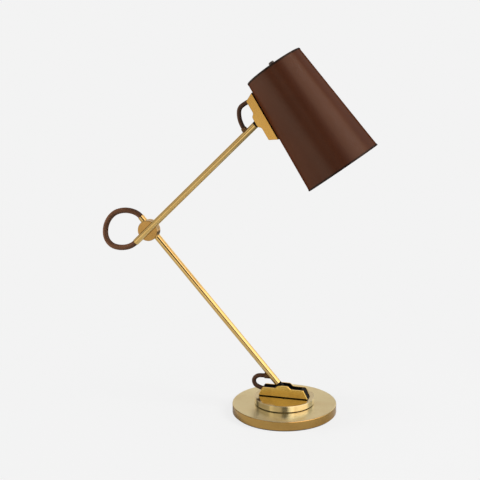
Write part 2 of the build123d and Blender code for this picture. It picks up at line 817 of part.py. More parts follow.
with BuildPart() as lampholder_nut:
    with BuildSketch(cap_plane):
        RegularPolygon(holder_nut_across_flats / 2, 6, major_radius=False)
        Circle(holder_thread / 2 + seat_play, mode=Mode.SUBTRACT)
    extrude(amount=-holder_nut_thickness)
save(lampholder_nut.part, "lampholder_nut")

with BuildPart() as lampholder_cap:
    with BuildSketch(shade_section) as holder_cap_section:
        with BuildLine():
            Polyline(
                (holder_thread / 2 + seat_play, holder_top),
                (holder_diameter / 2, holder_top),
                (holder_diameter / 2, holder_split),
                (holder_diameter / 2 - holder_cap_wall, holder_split),
                (holder_diameter / 2 - holder_cap_wall, holder_top + holder_cap_roof),
                (holder_thread / 2 + seat_play, holder_top + holder_cap_roof),
                close=True,
            )
        make_face()
        fillet(
            holder_cap_section.vertices().group_by(Axis.Y)[0].sort_by(Axis.X)[-1],
            radius=holder_cap_radius,
        )
    revolve(axis=shade_line)
save(lampholder_cap.part, "lampholder_cap")

with BuildPart() as lampholder_body:
    with BuildSketch(cap_plane.offset(holder_split - cap_depth)):
        Circle(holder_diameter / 2)
    extrude(amount=holder_body_height)
    with BuildSketch(cap_plane.offset(holder_mouth - cap_depth)):
        Circle(holder_bore)
    extrude(amount=holder_web - holder_body_height, mode=Mode.SUBTRACT)
save(lampholder_body.part, "lampholder_body")

web_face = holder_split + holder_web
with BuildPart() as lampholder_contact:
    with BuildSketch(cap_plane.offset(web_face - cap_depth)):
        Circle(contact_diameter / 2)
    extrude(amount=contact_thickness)
save(lampholder_contact.part, "lampholder_contact")

lamp_tip = web_face + contact_thickness
with BuildPart() as bulb_cap:
    with BuildSketch(shade_section):
        with BuildLine():
            Polyline(
                (0, lamp_tip),
                (lamp_cap_tip_diameter / 2, lamp_tip),
                (lamp_cap_diameter / 2, lamp_tip + lamp_cap_tip_height),
                (lamp_cap_diameter / 2, holder_mouth),
                (lamp_cap_diameter / 2 - lamp_cap_wall, holder_mouth),
                (lamp_cap_diameter / 2 - lamp_cap_wall, lamp_tip + lamp_cap_tip_height),
                (lamp_cap_tip_diameter / 2, lamp_tip + lamp_cap_wall),
                (0, lamp_tip + lamp_cap_wall),
                close=True,
            )
        make_face()
    revolve(axis=shade_line)
save(bulb_cap.part, "bulb_cap")


def draw_glass(inset):
    """One face of the bulb's glass, from its neck edge to its tip, an inset inside the outer face."""
    neck = lamp_cap_diameter / 2 - inset
    belly = glass_diameter / 2 - inset
    neck_end = holder_mouth + glass_neck_length
    widest = neck_end + glass_swell
    middle = ((neck + belly) / 2, (neck_end + widest) / 2)
    Line((neck, holder_mouth), (neck, neck_end))
    swell = TangentArc((neck, neck_end), middle, tangent=(0, 1))
    TangentArc(middle, (belly, widest), tangent=swell % 1)
    TangentArc((belly, widest), (0, widest + belly), tangent=(0, 1))
    return (neck, holder_mouth), (0, widest + belly)


with BuildPart() as bulb_glass:
    with BuildSketch(shade_section):
        with BuildLine():
            outer_edge, outer_tip = draw_glass(0)
            inner_edge, inner_tip = draw_glass(glass_thickness)
            Line(outer_edge, inner_edge)
            Line(outer_tip, inner_tip)
        make_face()
    revolve(axis=shade_line)
save(bulb_glass.part, "bulb_glass")

# Switch: a knob on the shade's top and its shaft through the lampholder's thread

with BuildPart() as switch_knob:
    with BuildSketch(shade_section) as knob_section:
        with Locations((0, -knob_rise)):
            Rectangle(knob_diameter / 2, knob_height, align=Align.MIN)
        fillet(
            knob_section.vertices().group_by(Axis.Y)[0].sort_by(Axis.X)[-1], radius=knob_edge_radius
        )
    revolve(axis=shade_line)
    with BuildSketch(cap_plane.offset(knob_height - knob_rise - cap_depth)):
        Circle(shaft_diameter / 2 + seat_play)
    extrude(amount=-shaft_in_knob - blind_play, mode=Mode.SUBTRACT)
save(switch_knob.part, "switch_knob")

shaft_top = knob_height - knob_rise - shaft_in_knob
with BuildPart() as switch_shaft:
    with BuildSketch(cap_plane.offset(shaft_top - cap_depth)):
        Circle(shaft_diameter / 2)
    extrude(amount=holder_top + holder_cap_roof + shaft_tail - shaft_top)
save(switch_shaft.part, "switch_shaft")

# The lead where it shows: a loop past the base pin, one past the elbow and one past the head pin


def from_pivot(pivot, offsets):
    """Points of a route, from offsets in the plane of the arms and shares of the way to the upper arm."""
    return [pivot + Vector(x, share * upper_arm_y, z) for x, share, z in offsets]


def out_of(bush):
    """The straight start of a loop, from inside a tube out through its bush."""
    return [bush.origin + bush.z_dir * bush_inside, bush.origin + bush.z_dir * bush_lead]


lower_end = base_pin + lower_direction * lower_reach
upper_end = head_pin - upper_direction * upper_reach

base_loop_route = out_of(lower_bush) + from_pivot(
    base_pin,
    [(-40.3, 0, 19.4), (-45.9, 0, 13.4), (-44.3, 0, 5.4), (-37.2, 0, 1.8), (-29.6, 0, 0)],
)
elbow_loop_route = [lower_end, lower_end + lower_direction * lower_lead]
elbow_loop_route += from_pivot(
    elbow,
    [
        (-38.0, 0.15, 27.3),
        (-56.0, 0.31, 22.4),
        (-67.3, 0.49, 6.6),
        (-68.5, 0.65, -12.7),
        (-58.5, 0.81, -25.2),
        (-42.0, 0.94, -27.7),
    ],
)
elbow_loop_route += [upper_end - upper_direction * upper_lead, upper_end]
head_loop_route = out_of(upper_bush) + from_pivot(
    head_pin,
    [(-33.4, 0, 3.2), (-32.4, 0, 13.3), (-24.8, 0, 19.3), (-14.9, 0, 24.5)],
)


def build_cord(route, diameter, name):
    """Round lead along a route, each corner an arc as large as its two runs allow."""
    runs = [after - before for before, after in zip(route, route[1:])]
    radii = []
    for before, after in zip(runs, runs[1:]):
        half_turn = radians(before.get_angle(after)) / 2
        radii.append(corner_share * min(before.length, after.length) / tan(half_turn))
    with BuildPart() as cord:
        with BuildLine():
            lead = FilletPolyline(*route, radius=radii)
        with BuildSketch(Plane(origin=route[0], z_dir=runs[0])):
            Circle(diameter / 2)
        sweep()
    fill = cord.part.volume / (pi * diameter**2 / 4 * lead.length)
    print(name, "length", round(lead.length, 1), "radii", [round(radius, 1) for radius in radii])
    print(name, "volume over section times length", round(fill, 4))
    for point in route:
        print("   ", round(point.X, 2), round(point.Y, 2), round(point.Z, 2))
    return cord.part


save(build_cord(base_loop_route, loop_diameter, "base_cord_loop"), "base_cord_loop")
save(build_cord(elbow_loop_route, elbow_loop_diameter, "elbow_cord_loop"), "elbow_cord_loop")
save(build_cord(head_loop_route, loop_diameter, "head_cord_loop"), "head_cord_loop")

print("base pin", base_pin, "elbow", elbow, "head pin", head_pin)
print("shade top", shade_top, "axis", shade_axis, "bracket seat", bracket_seat)
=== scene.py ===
"""Looks of a swing arm desk lamp, built around its CAD frame.

The lamp stands on a round brass base with a turntable. Two brass tubes carry a leather shade, and a
leather-sleeved lead shows as a loop past each of the three arm pivots. Lengths are metres.
"""

import json
import logging
import math
from dataclasses import dataclass, field
from enum import Enum
from typing import Any, Callable, Sequence

import bmesh
import bpy
from mathutils import Matrix, Vector


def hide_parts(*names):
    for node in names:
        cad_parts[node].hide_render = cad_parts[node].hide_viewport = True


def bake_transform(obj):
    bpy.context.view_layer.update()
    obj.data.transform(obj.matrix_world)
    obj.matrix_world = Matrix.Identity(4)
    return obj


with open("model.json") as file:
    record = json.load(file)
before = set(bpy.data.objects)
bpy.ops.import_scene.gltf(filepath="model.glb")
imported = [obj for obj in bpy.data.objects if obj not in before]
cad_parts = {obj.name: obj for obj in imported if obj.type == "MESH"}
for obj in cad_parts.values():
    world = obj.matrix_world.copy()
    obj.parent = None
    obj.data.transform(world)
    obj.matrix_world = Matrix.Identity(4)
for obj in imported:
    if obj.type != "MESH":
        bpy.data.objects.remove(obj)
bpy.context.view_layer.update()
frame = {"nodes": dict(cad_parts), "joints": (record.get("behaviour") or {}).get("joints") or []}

LOG = logging.getLogger("desk_lamp")
UP = Vector((0.0, 0.0, 1.0))
ACROSS = Vector((0.0, 1.0, 0.0))

Colour = tuple[float, float, float]
WARM_TINT: Colour = (1.0, 0.85, 0.65)


class Signal:
    """A shader socket that takes part in Python expressions; each operator adds its node."""

    def __init__(self, shader: "Shader", socket: bpy.types.NodeSocket) -> None:
        """Keep the shader that owns the socket, and the socket."""
        self.shader = shader
        self.socket = socket

    def maths(self, operation: str, *values: Any, clamp: bool = False) -> "Signal":
        """Add one Math node.

        Args:
            operation: the Math node's operation.
            values: its inputs in order, numbers or signals.
            clamp: hold the result between 0 and 1.

        Returns:
            The node's result.
        """
        settings = {"operation": operation, "use_clamp": clamp}
        return self.shader.node("ShaderNodeMath", settings, dict(enumerate(values))).out("Value")

    def vector(self, operation: str, *values: Any, result: str = "Vector") -> "Signal":
        """Add one Vector Math node.

        Args:
            operation: the node's operation.
            values: its inputs in order, vectors or signals.
            result: the output that is wanted.

        Returns:
            That output.
        """
        settings = {"operation": operation}
        return self.shader.node("ShaderNodeVectorMath", settings, dict(enumerate(values))).out(result)

    def __add__(self, other: Any) -> "Signal":
        """Sum of two values."""
        return self.maths("ADD", self, other)

    def __radd__(self, other: Any) -> "Signal":
        """Sum with a number on the left."""
        return self.maths("ADD", other, self)

    def __sub__(self, other: Any) -> "Signal":
        """Difference of two values."""
        return self.maths("SUBTRACT", self, other)

    def __rsub__(self, other: Any) -> "Signal":
        """Difference with a number on the left."""
        return self.maths("SUBTRACT", other, self)

    def __mul__(self, other: Any) -> "Signal":
        """Product of two values."""
        return self.maths("MULTIPLY", self, other)

    def __rmul__(self, other: Any) -> "Signal":
        """Product with a number on the left."""
        return self.maths("MULTIPLY", other, self)

    def larger(self, other: Any) -> "Signal":
        """The larger of two values."""
        return self.maths("MAXIMUM", self, other)

    def size(self) -> "Signal":
        """The value without its sign."""
        return self.maths("ABSOLUTE", self)

    def held(self) -> "Signal":
        """The value held between 0 and 1."""
        return self.maths("ADD", self, 0.0, clamp=True)

    def dot(self, direction: Vector) -> "Signal":
        """Share of a vector along a fixed direction."""
        return self.vector("DOT_PRODUCT", self, tuple(direction), result="Value")

    def ease(self, low: float, high: float) -> "Signal":
        """Smooth step from 0 at one value to 1 at another.

        Args:
            low: the value that gives 0.
            high: the value that gives 1, larger or smaller than low.

        Returns:
            The step.
        """
        settings = {"interpolation_type": "SMOOTHSTEP"}
        inputs = {"Value": self, "From Min": low, "From Max": high}
        return self.shader.node("ShaderNodeMapRange", settings, inputs).out("Result")


class Made:
    """A node that has just been added."""

    def __init__(self, shader: "Shader", node: bpy.types.Node) -> None:
        """Keep the shader and its new node."""
        self.shader = shader
        self.node = node

    def out(self, name: str) -> Signal:
        """One of the node's outputs, by name."""
        return Signal(self.shader, self.node.outputs[name])


class Shader:
    """A node tree that is written as expressions."""

    def __init__(self, tree: bpy.types.NodeTree) -> None:
        """Start from an empty tree."""
        self.tree = tree
        tree.nodes.clear()

    def node(self, kind: str, settings: dict[str, Any] | None = None,
             inputs: dict[Any, Any] | None = None) -> Made:
        """Add any node.

        Args:
            kind: the node's type.
            settings: its own properties, set first.
            inputs: values or signals by socket name or number.

        Returns:
            The node.
        """
        node = self.tree.nodes.new(kind)
        for name, value in (settings or {}).items():
            setattr(node, name, value)
        for name, value in (inputs or {}).items():
            self.feed(node.inputs[name], value)
        return Made(self, node)

    def feed(self, socket: bpy.types.NodeSocket, value: Any) -> None:
        """Link a signal to a socket, or set a plain value on it.

        Args:
            socket: the input that is fed.
            value: a signal, a number, a colour or a vector.
        """
        if isinstance(value, Signal):
            self.tree.links.new(value.socket, socket)
        elif isinstance(value, tuple) and len(value) == 3 and socket.type == "RGBA":
            socket.default_value = (*value, 1.0)
        else:
            socket.default_value = value

    def place(self) -> Signal:
        """Where a point lies in the lamp's own frame."""
        return self.node("ShaderNodeTexCoord").out("Object")

    def noise(self, place: Signal, scale: float, detail: float = 3.0, roughness: float = 0.5) -> Signal:
        """Soft noise about 0.5 at a scale in cells per metre."""
        inputs = {"Vector": place, "Scale": scale, "Detail": detail, "Roughness": roughness}
        return self.node("ShaderNodeTexNoise", None, inputs).out("Fac")

    def streaks(self, line: Signal, scale: float, detail: float = 4.0) -> Signal:
        """Noise along one line, at a scale in cells per metre."""
        inputs = {"W": line, "Scale": scale, "Detail": detail, "Roughness": 0.65}
        return self.node("ShaderNodeTexNoise", {"noise_dimensions": "1D"}, inputs).out("Fac")

    def cells(self, place: Signal, scale: float) -> Signal:
        """Distance to the edge of the nearest cell, at a scale in cells per metre."""
        inputs = {"Vector": place, "Scale": scale}
        return self.node("ShaderNodeTexVoronoi", {"feature": "DISTANCE_TO_EDGE"}, inputs).out("Distance")

    def blend(self, share: Any, first: Any, second: Any) -> Signal:
        """Mix of two colours.

        Args:
            share: how much of the second colour, from 0 to 1.
            first: a colour or a signal.
            second: a colour or a signal.

        Returns:
            The mixed colour.
        """
        share_in, first_in, second_in, colour_out = 0, 6, 7, 2
        inputs = {share_in: share, first_in: first, second_in: second}
        made = self.node("ShaderNodeMix", {"data_type": "RGBA"}, inputs)
        return Signal(self, made.node.outputs[colour_out])

    def scaled(self, colour: Colour, level: Signal) -> Signal:
        """A colour or vector times a value."""
        inputs = {0: colour, "Scale": level}
        return self.node("ShaderNodeVectorMath", {"operation": "SCALE"}, inputs).out("Vector")

    def grey(self, level: Signal) -> Signal:
        """A value as a grey."""
        return self.scaled((1.0, 1.0, 1.0), level)

    def bump(self, height: Signal, depth: float, strength: float = 1.0) -> Signal:
        """Surface normal of a height between 0 and 1 that stands for a depth in metres."""
        inputs = {"Height": height, "Distance": depth, "Strength": strength}
        return self.node("ShaderNodeBump", None, inputs).out("Normal")


class SurfaceShader(Shader):
    """A material with one Principled surface."""

    def __init__(self, name: str) -> None:
        """Make the material with its surface and output.

        Args:
            name: the material's name.
        """
        self.material = bpy.data.materials.new(name)
        self.material.use_nodes = True
        super().__init__(self.material.node_tree)
        self.surface = self.node("ShaderNodeBsdfPrincipled")
        output = self.node("ShaderNodeOutputMaterial")
        self.tree.links.new(self.surface.node.outputs["BSDF"], output.node.inputs["Surface"])

    def paint(self, **sockets: Any) -> bpy.types.Material:
        """Set the surface's sockets.

        Args:
            sockets: values or signals by socket name, its spaces written as underscores.

        Returns:
            The finished material.
        """
        for name, value in sockets.items():
            self.feed(self.surface.node.inputs[name.replace("_", " ")], value)
        return self.material


class Brush(Enum):
    """How a metal surface was rubbed down."""

    TURNED = "rings about the upright axis"
    DRAWN = "streaks along a direction"
    PLAIN = "no direction"


@dataclass(frozen=True)
class Finish:
    """A surface finish; each kind writes its own material."""

    name: str

    def material(self) -> bpy.types.Material:
        """The material, made on its first use."""
        found = bpy.data.materials.get(self.name)
        return found or self.write(SurfaceShader(self.name))

    def write(self, shader: SurfaceShader) -> bpy.types.Material:
        """Write the nodes of this finish.

        Args:
            shader: an empty surface.

        Returns:
            The finished material.
        """
        raise NotImplementedError


@dataclass(frozen=True)
class Brass(Finish):
    """Lacquered brass with brush marks, faint tarnish clouds, varying gloss and, where set, a painted
    reflection tone on upward faces.
    """

    colour: Colour = (0.70, 0.45, 0.14)
    tarnish: Colour = (0.52, 0.30, 0.07)
    roughness: float = 0.2
    spread: float = 0.1
    lacquer: float = 0.35
    brush: Brush = Brush.PLAIN
    direction: Vector = field(default_factory=lambda: UP.copy())
    mark_scale: float = 2600.0
    mark_depth: float = 0.000003
    turning: float = 0.0
    # Colour that upward faces turn to: a painted reflection tone, paler or darker than the sides, on the
    # same metal.
    painted_top_tone: Colour | None = None
    top_roughness: float = 0.0
    lacquer_roughness: float = 0.08
    cloud_scale: float = 38.0
    spot_scale: float = 210.0
    drawn_out: float = 0.985

    def marks(self, shader: SurfaceShader, place: Signal) -> Signal:
        """Brush marks about 0.5.

        Args:
            shader: the surface that is written.
            place: the point's place in the lamp's frame.

        Returns:
            The marks' height.
        """
        if self.brush is Brush.TURNED:
            level = place.vector("MULTIPLY", place, (1.0, 1.0, 0.0))
            radius = level.vector("LENGTH", level, result="Value")
            return shader.streaks(radius + place.dot(UP), self.mark_scale)
        if self.brush is Brush.DRAWN:
            lengthwise = place.dot(self.direction) * -self.drawn_out
            lengthwise = shader.scaled(tuple(self.direction), lengthwise)
            squeezed = place.vector("ADD", place, lengthwise)
            return shader.noise(squeezed, self.mark_scale, 4.0, 0.6)
        return shader.noise(place, self.mark_scale * 0.3, 4.0, 0.6)

    def write(self, shader: SurfaceShader) -> bpy.types.Material:
        """Write the brass.

        Args:
            shader: an empty surface.

        Returns:
            The finished material.
        """
        place = shader.place()
        marks = self.marks(shader, place)
        clouds = shader.noise(place, self.cloud_scale, 4.0, 0.55)
        spots = shader.noise(place, self.spot_scale, 2.0, 0.5).ease(0.6, 0.78)
        share = (clouds.ease(0.35, 0.8) * 0.4 + (marks - 0.5) * 0.25 + spots * 0.12).held()
        gloss = self.roughness + (clouds - 0.5) * self.spread + (marks - 0.5) * self.spread
        colour = shader.blend(share, self.colour, self.tarnish)
        # Painted reflection: faces turned up take the top tone's colour, and more roughness.
        if self.painted_top_tone:
            upright = shader.node("ShaderNodeTexCoord").out("Normal").dot(UP).ease(0.5, 0.9)
            colour = shader.blend(upright * (1.0 - share * 0.5), colour, self.painted_top_tone)
            gloss = gloss + upright * self.top_roughness
        return shader.paint(
            Base_Color=colour,
            Metallic=1.0,
            Roughness=gloss.held(),
            Anisotropic=self.turning,
            Coat_Weight=self.lacquer,
            Coat_Roughness=self.lacquer_roughness,
            Normal=shader.bump(marks, self.mark_depth),
        )


@dataclass(frozen=True)
class Leather(Finish):
    """Smooth waxed leather: fine cell grain, pores, clouded dye and a soft wax sheen."""

    colour: Colour = (0.055, 0.0150, 0.0052)
    dark: Colour = (0.040, 0.0106, 0.0036)
    roughness: float = 0.6
    grain_scale: float = 1150.0
    grain_depth: float = 0.00004
    wax: float = 0.58
    wax_roughness: float = 0.28
    bare_gloss: float = 0.0
    wax_ends: tuple[float, float] = (0.85, 0.25)
    cell_edge: float = 0.16
    cloud_scale: float = 16.0
    warp_scale: float = 420.0

    def sheen(self, shader: SurfaceShader) -> Signal:
        """Wax that shows on faces seen squarely and fades at a glancing view."""
        facing = shader.node("ShaderNodeLayerWeight", None, {"Blend": 0.5}).out("Facing")
        return facing.ease(*self.wax_ends) * self.wax

    def sewn(self, shader: SurfaceShader, place: Signal, colour: Signal,
             height: Signal) -> tuple[Signal, Signal]:
        """Add the seams that this leather has; plain leather has none.

        Args:
            shader: the surface that is written.
            place: the point's place in the lamp's frame.
            colour: the leather's colour so far.
            height: its height so far.

        Returns:
            The colour and the height with the seams.
        """
        return colour, height

    def write(self, shader: SurfaceShader) -> bpy.types.Material:
        """Write the leather.

        Args:
            shader: an empty surface.

        Returns:
            The finished material.
        """
        place = shader.place()
        warp = shader.noise(place, self.warp_scale, 2.0)
        grain = shader.cells(place, self.grain_scale).ease(0.0, self.cell_edge)
        fine = shader.noise(place, self.grain_scale * 3.1, 3.0, 0.6)
        pores = shader.noise(place, self.grain_scale * 1.7, 1.0).ease(0.68, 0.76)
        clouds = shader.noise(place, self.cloud_scale, 4.0, 0.6).ease(0.3, 0.75)
        height = grain * 0.6 + fine * 0.3 + warp * 0.4 - pores * 0.6
        share = (clouds * 0.45 + (1.0 - grain) * 0.25 + pores * 0.3).held()
        colour, height = self.sewn(shader, place, shader.blend(share, self.colour, self.dark), height)
        return shader.paint(
            Base_Color=colour,
            Roughness=(self.roughness + (warp - 0.5) * 0.14 + (1.0 - grain) * 0.05).held(),
            Coat_Weight=self.sheen(shader),
            Coat_Roughness=self.wax_roughness,
            Specular_IOR_Level=self.bare_gloss,
            Normal=shader.bump(height, self.grain_depth),
        )


@dataclass(frozen=True)
class ShadeLeather(Leather):
    """Leather wrapped round a cone and closed by a butt seam with a row of stitches each side."""

    axis: Vector = field(default_factory=lambda: UP.copy())
    centre: Vector = field(default_factory=Vector)
    joint_edges: tuple[float, float] = (0.0007, 0.0002)
    row_offset: float = 0.0026
    row_edges: tuple[float, float] = (0.0006, 0.0003)
    stitch_pitch: float = 0.0036
    thread: Colour = (0.17, 0.085, 0.045)

    def sewn(self, shader: SurfaceShader, place: Signal, colour: Signal,
             height: Signal) -> tuple[Signal, Signal]:
        """Add the butt seam on the bracket's side, and its stitches.

        Args:
            shader: the surface that is written.
            place: the point's place in the lamp's frame.
            colour: the leather's colour so far.
            height: its height so far.

        Returns:
            The colour and the height with the seam.
        """
        seam_side = self.axis.cross(ACROSS)
        seam_side = seam_side if seam_side.x < 0 else -seam_side
        offset = place.vector("SUBTRACT", place, tuple(self.centre))
        bracket_side = offset.dot(seam_side).ease(0.0, 0.01)
        across = offset.dot(ACROSS).size()
        joint = across.ease(*self.joint_edges) * bracket_side
        row = (across - self.row_offset).size().ease(*self.row_edges) * bracket_side
        dash = place.maths("FRACT", offset.dot(self.axis) * (1.0 / self.stitch_pitch))
        stitch = row * (dash - 0.5).size().ease(0.42, 0.36)
        colour = shader.blend((joint + (row - stitch) * 0.4).held(), colour, self.dark)
        colour = shader.blend(stitch, colour, self.thread)
        return colour, height - joint * 3.0 - row * 1.5 + stitch * 5.0


@dataclass(frozen=True)
class SleeveLeather(Leather):
    """Leather sewn into a round sleeve: the same grain, with a seam along its inner side."""

    seam_half: float = 0.035
    stitches_per_metre: float = 330.0
    cloud_scale: float = 60.0

    def write(self, shader: SurfaceShader) -> bpy.types.Material:
        """Write the sleeve, with its seam and stitches along the cord.

        Args:
            shader: an empty surface.

        Returns:
            The finished material.
        """
        place = shader.place()
        lengthwise = shader.node("ShaderNodeUVMap").out("UV")
        parts = shader.node("ShaderNodeSeparateXYZ", None, {0: lengthwise})
        round_share, along = parts.out("X"), parts.out("Y")
        seam = 1.0 - (round_share - 0.5).size().ease(self.seam_half * 0.3, self.seam_half)
        stitch = along.maths("FRACT", along * self.stitches_per_metre)
        thread = seam * (stitch - 0.5).size().ease(0.42, 0.3)
        grain = shader.cells(place, self.grain_scale).ease(0.0, self.cell_edge)
        clouds = shader.noise(place, self.cloud_scale, 3.0)
        height = grain * 0.5 + clouds * 0.6 - seam * 1.5 + thread * 1.8
        share = (clouds.ease(0.35, 0.75) * 0.5 + seam * 0.5).held()
        return shader.paint(
            Base_Color=shader.blend(share, self.colour, self.dark),
            Roughness=(self.roughness + (clouds - 0.5) * 0.15).held(),
            Coat_Weight=self.sheen(shader),
            Coat_Roughness=self.wax_roughness,
            Specular_IOR_Level=self.bare_gloss,
            Normal=shader.bump(height, self.grain_depth),
        )


@dataclass(frozen=True)
class PlainMetal(Finish):
    """Plated or blackened steel with a fine uneven gloss and worn spots."""

    colour: Colour = (0.42, 0.42, 0.43)
    worn: Colour = (0.55, 0.55, 0.56)
    speck_depth: float = 0.00001
    roughness: float = 0.3
    metallic: float = 1.0
    cloud_scale: float = 160.0

    def write(self, shader: SurfaceShader) -> bpy.types.Material:
        """Write the steel.

        Args:
            shader: an empty surface.

        Returns:
            The finished material.
        """
        place = shader.place()
        clouds = shader.noise(place, self.cloud_scale, 4.0, 0.6)
        speck = shader.noise(place, self.cloud_scale * 14.0, 2.0)
        share = (clouds.ease(0.45, 0.8) * 0.6 + (speck - 0.5) * 0.3).held()
        return shader.paint(
            Base_Color=shader.blend(share, self.colour, self.worn),
            Metallic=self.metallic,
            Roughness=(self.roughness + (clouds - 0.5) * 0.16 + (speck - 0.5) * 0.08).held(),
            Normal=shader.bump(speck, self.speck_depth),
        )


@dataclass(frozen=True)
class Moulded(Finish):
    """Moulded plastic, rubber or enamel: even colour, faint orange peel and handling marks."""

    colour: Colour = (0.03, 0.026, 0.024)
    second: Colour = (0.045, 0.038, 0.034)
    roughness: float = 0.3
    peel_scale: float = 900.0
    peel_depth: float = 0.00001
    coat: float = 0.0
    gloss: float = 0.5
    cloud_scale: float = 45.0

    def write(self, shader: SurfaceShader) -> bpy.types.Material:
        """Write the moulding.

        Args:
            shader: an empty surface.

        Returns:
            The finished material.
        """
        place = shader.place()
        clouds = shader.noise(place, self.cloud_scale, 4.0, 0.6)
        peel = shader.noise(place, self.peel_scale, 2.0)
        return shader.paint(
            Base_Color=shader.blend(clouds.ease(0.35, 0.75), self.colour, self.second),
            Roughness=(self.roughness + (clouds - 0.5) * 0.12).held(),
            Coat_Weight=self.coat,
            Specular_IOR_Level=self.gloss,
            Normal=shader.bump(peel, self.peel_depth),
        )


@dataclass(frozen=True)
class Felt(Finish):
    """Pressed wool felt with loose short fibres."""

    colour: Colour = (0.014, 0.012, 0.011)
    fibre: Colour = (0.05, 0.045, 0.04)
    fibre_scale: float = 1400.0
    clump_scale: float = 180.0
    nap: float = 0.0003

    def write(self, shader: SurfaceShader) -> bpy.types.Material:
        """Write the felt.

        Args:
            shader: an empty surface.

        Returns:
            The finished material.
        """
        place = shader.place()
        tangle = shader.noise(place, self.fibre_scale, 5.0, 0.75)
        clumps = shader.noise(place, self.clump_scale, 3.0)
        share = (tangle.ease(0.4, 0.7) * 0.8 + clumps * 0.2).held()
        return shader.paint(
            Base_Color=shader.blend(share, self.colour, self.fibre),
            Roughness=0.95,
            Sheen_Weight=0.3,
            Normal=shader.bump(tangle * 0.7 + clumps * 0.3, self.nap),
        )


@dataclass(frozen=True)
class OpalGlass(Finish):
    """Opal glass: milky, smooth and a little uneven in depth."""

    colour: Colour = (0.86, 0.85, 0.81)
    deep: Colour = (0.78, 0.76, 0.70)
    swirl_scale: float = 30.0
    swirl_depth: float = 0.00005

    def write(self, shader: SurfaceShader) -> bpy.types.Material:
        """Write the glass.

        Args:
            shader: an empty surface.

        Returns:
            The finished material.
        """
        place = shader.place()
        swirl = shader.noise(place, self.swirl_scale, 3.0)
        return shader.paint(
            Base_Color=shader.blend(swirl.ease(0.35, 0.7), self.colour, self.deep),
            Roughness=(0.08 + swirl * 0.06).held(),
            IOR=1.5,
            Coat_Weight=0.2,
            Normal=shader.bump(swirl, self.swirl_depth),
        )


# The plate's paler top and the turntable's darker top are painted reflection tones on the same brass.
PLATE_BRASS = Brass("turned_plate_brass", colour=(0.60, 0.36, 0.10), tarnish=(0.45, 0.25, 0.055),
                    roughness=0.2, spread=0.06, brush=Brush.TURNED, turning=0.3,
                    painted_top_tone=(0.70, 0.645, 0.42), top_roughness=0.12, lacquer=0.2)
TURNTABLE_BRASS = Brass("polished_turntable_brass", colour=(0.88, 0.78, 0.55),
                        tarnish=(0.78, 0.64, 0.36), roughness=0.1, spread=0.04, brush=Brush.TURNED,
                        mark_depth=0.0000015, painted_top_tone=(0.46, 0.40, 0.25), top_roughness=0.06)
DISC_BRASS = Brass("satin_disc_brass", colour=(0.47, 0.29, 0.092), tarnish=(0.36, 0.20, 0.05),
                   roughness=0.24, spread=0.08)
DARK_BRONZE = Brass("dark_bronze", colour=(0.15, 0.085, 0.045), tarnish=(0.09, 0.048, 0.025),
                    roughness=0.4, spread=0.1, lacquer=0.1)
FITTING_BRASS = Brass("satin_fitting_brass", colour=(0.60, 0.385, 0.12), tarnish=(0.42, 0.24, 0.06),
                      roughness=0.24, spread=0.08)
BINDING_LEATHER = Leather("binding_leather", colour=(0.016, 0.0075, 0.005), dark=(0.009, 0.0045, 0.003),
                          wax=0.4)
SLEEVE_LEATHER = SleeveLeather("cord_sleeve_leather", colour=(0.120, 0.053, 0.027),
                               dark=(0.070, 0.030, 0.015), wax=0.4)
# A darker copy of the sleeve leather for the base and head loops: painted shade.
NARROW_SLEEVE_LEATHER = SleeveLeather("narrow_sleeve_leather", colour=(0.066, 0.031, 0.018),
                                      dark=(0.038, 0.0175, 0.010), wax=0.3)
BLACK_STEEL = Moulded("black_oxide_steel", colour=(0.005, 0.0045, 0.004), second=(0.009, 0.008, 0.007),
                      roughness=0.6, gloss=0.08)
BRIGHT_STEEL = PlainMetal("plated_steel")
NYLON = Moulded("fibre_nylon", colour=(0.014, 0.013, 0.012), second=(0.02, 0.018, 0.016), roughness=0.6)
RUBBER = Moulded("grommet_rubber", colour=(0.006, 0.006, 0.006), second=(0.011, 0.01, 0.01),
                 roughness=0.7)
PHENOLIC = Moulded("black_phenolic", colour=(0.012, 0.010, 0.009), second=(0.022, 0.017, 0.014),
                   roughness=0.25, coat=0.3)
ENAMEL = Moulded("white_enamel", colour=(0.76, 0.745, 0.70), second=(0.72, 0.70, 0.65), roughness=0.25,
                 peel_scale=500.0, coat=0.3)
FELT = Felt("wool_felt")
OPAL = OpalGlass("opal_glass")


def dress(node: str, finish: Finish) -> None:
    """Give a CAD node its finish.

    Args:
        node: the node's name.
        finish: what it is finished in.
    """
    piece = frame["nodes"][node]
    piece.data.materials.clear()
    piece.data.materials.append(finish.material())
    LOG.info("dressed %s in %s", node, finish.name)


def direction_between(start: Vector, end: Vector) -> Vector:
    """Unit vector from one point to another."""
    return (end - start).normalized()


def packed_vector(joint_name: str, key: str) -> Vector:
    """A joint's place or axis, as packed."""
    return Vector(next(joint[key] for joint in frame["joints"] if joint["name"] == joint_name))


@dataclass
class Base:
    """Felt, brass plate, turntable and the swivel between them."""

    steel: tuple[str, ...] = ("swivel_nipple", "swivel_nut", "swivel_lock_washer", "swivel_stop_pin",
                              "swivel_disc_spring")

    def build(self) -> None:
        """Dress the base's nodes."""
        dress("base_felt_pad", FELT)
        dress("base_plate", PLATE_BRASS)
        dress("turntable", TURNTABLE_BRASS)
        dress("cord_grommet", RUBBER)
        dress("swivel_thrust_washer", NYLON)
        for node in self.steel:
            dress(node, BRIGHT_STEEL)


